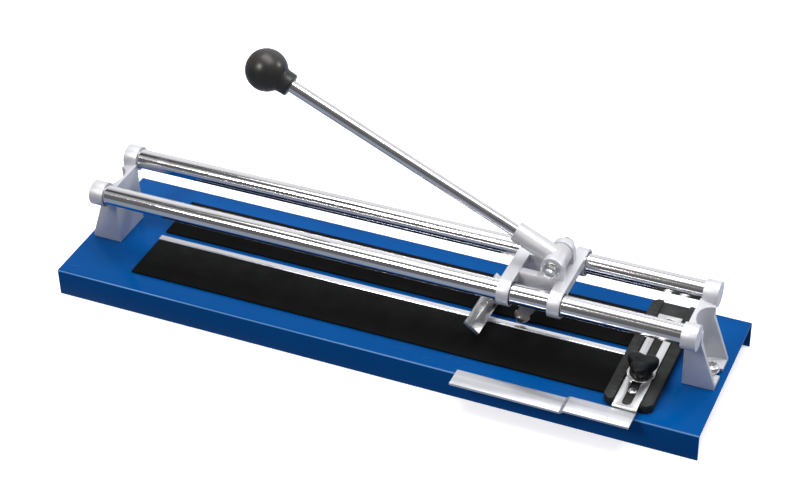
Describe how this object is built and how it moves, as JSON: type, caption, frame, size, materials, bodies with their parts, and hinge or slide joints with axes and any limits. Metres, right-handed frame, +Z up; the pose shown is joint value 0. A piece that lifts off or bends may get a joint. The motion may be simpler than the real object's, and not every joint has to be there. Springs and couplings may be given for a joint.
{
  "type": "manual tile cutter",
  "caption": "Manual tile cutter: folded base with pads and snapping bar, round rails on brackets, a scoring carriage with ball-ended lever and breaker, and a side gauge with clamp.",
  "frame": {"origin": "middle of the footprint, gauge arm included, on the plane that the cutter stands on", "axes": "+X along the rails towards the fence, +Y towards the back, away from the stop arm, +Z up"},
  "size_m": [0.54, 0.159, 0.227],
  "materials": {
    "blue_paint": "glossy blue enamel on folded steel sheet",
    "black_rubber": "matt black rubber sheet",
    "bright_steel": "bright brushed steel",
    "chrome": "ground and chrome plated round bar",
    "cast_aluminium": "satin cast aluminium",
    "black_nylon": "black moulded nylon",
    "zinc_plate": "zinc plated steel",
    "carbide": "ground tungsten carbide",
    "grey_steel": "grey phosphated steel",
    "black_plastic": "satin black moulded plastic"
  },
  "bodies": {
    "base_frame": {"base": "blue_paint", "front_flange": "blue_paint", "rear_flange": "blue_paint", "front_pad": "black_rubber", "rear_pad": "black_rubber", "snapping_bar": "bright_steel", "left_bracket": "cast_aluminium", "right_bracket": "cast_aluminium", "left_bracket_screw": "zinc_plate", "left_bracket_washer": "zinc_plate", "left_bracket_nut": "zinc_plate", "right_bracket_screw": "zinc_plate", "right_bracket_washer": "zinc_plate", "right_bracket_nut": "zinc_plate", "front_rail": "chrome", "rear_rail": "chrome", "fence": "black_plastic", "guide_screw": "zinc_plate", "guide_nut": "zinc_plate", "fence_rear_screw": "zinc_plate", "clamp_stud": "zinc_plate", "clamp_washer": "zinc_plate"},
    "carriage": {"carriage_body": "cast_aluminium", "left_front_bush": "black_nylon", "left_rear_bush": "black_nylon", "right_front_bush": "black_nylon", "right_rear_bush": "black_nylon", "pivot_bolt": "zinc_plate", "pivot_nut": "zinc_plate", "pivot_washer_front": "zinc_plate", "pivot_washer_rear": "zinc_plate"},
    "lever": {"lever_hub": "cast_aluminium", "lever_rod": "chrome", "ball_knob": "black_plastic", "wheel_axle": "zinc_plate", "breaker_pin": "zinc_plate"},
    "cutting_wheel": {"cutting_wheel": "carbide"},
    "breaker": {"breaker": "grey_steel"},
    "gauge": {"gauge_strip": "bright_steel", "stop_arm": "bright_steel"},
    "clamp_knob": {"clamp_knob": "black_plastic"}
  },
  "joints": [
    {"name": "carriage_slide", "type": "slide", "parent": "base_frame", "child": "carriage", "axis": [1, 0, 0], "range_m": [-0.29, 0.078]},
    {"name": "lever_lift", "type": "hinge", "parent": "carriage", "child": "lever", "pos_m": [0.134, 0.008, 0.098], "axis": [0, 1, 0], "range_deg": [-2.8, 17]},
    {"name": "wheel_spin", "type": "hinge", "parent": "lever", "child": "cutting_wheel", "pos_m": [0.1058, 0.008, 0.0344], "axis": [0, 1, 0], "continuous": true},
    {"name": "breaker_tilt", "type": "hinge", "parent": "lever", "child": "breaker", "pos_m": [0.0832, 0.008, 0.0461], "axis": [0, 1, 0], "range_deg": [-12, 12]},
    {"name": "gauge_slide", "type": "slide", "parent": "base_frame", "child": "gauge", "axis": [0, -1, 0], "range_m": [-0.001, 0.067]},
    {"name": "clamp_knob_turn", "type": "hinge", "parent": "base_frame", "child": "clamp_knob", "pos_m": [0.2117, -0.021, 0.034], "axis": [0, 0, 1], "range_deg": [0, 180]}
  ]
}
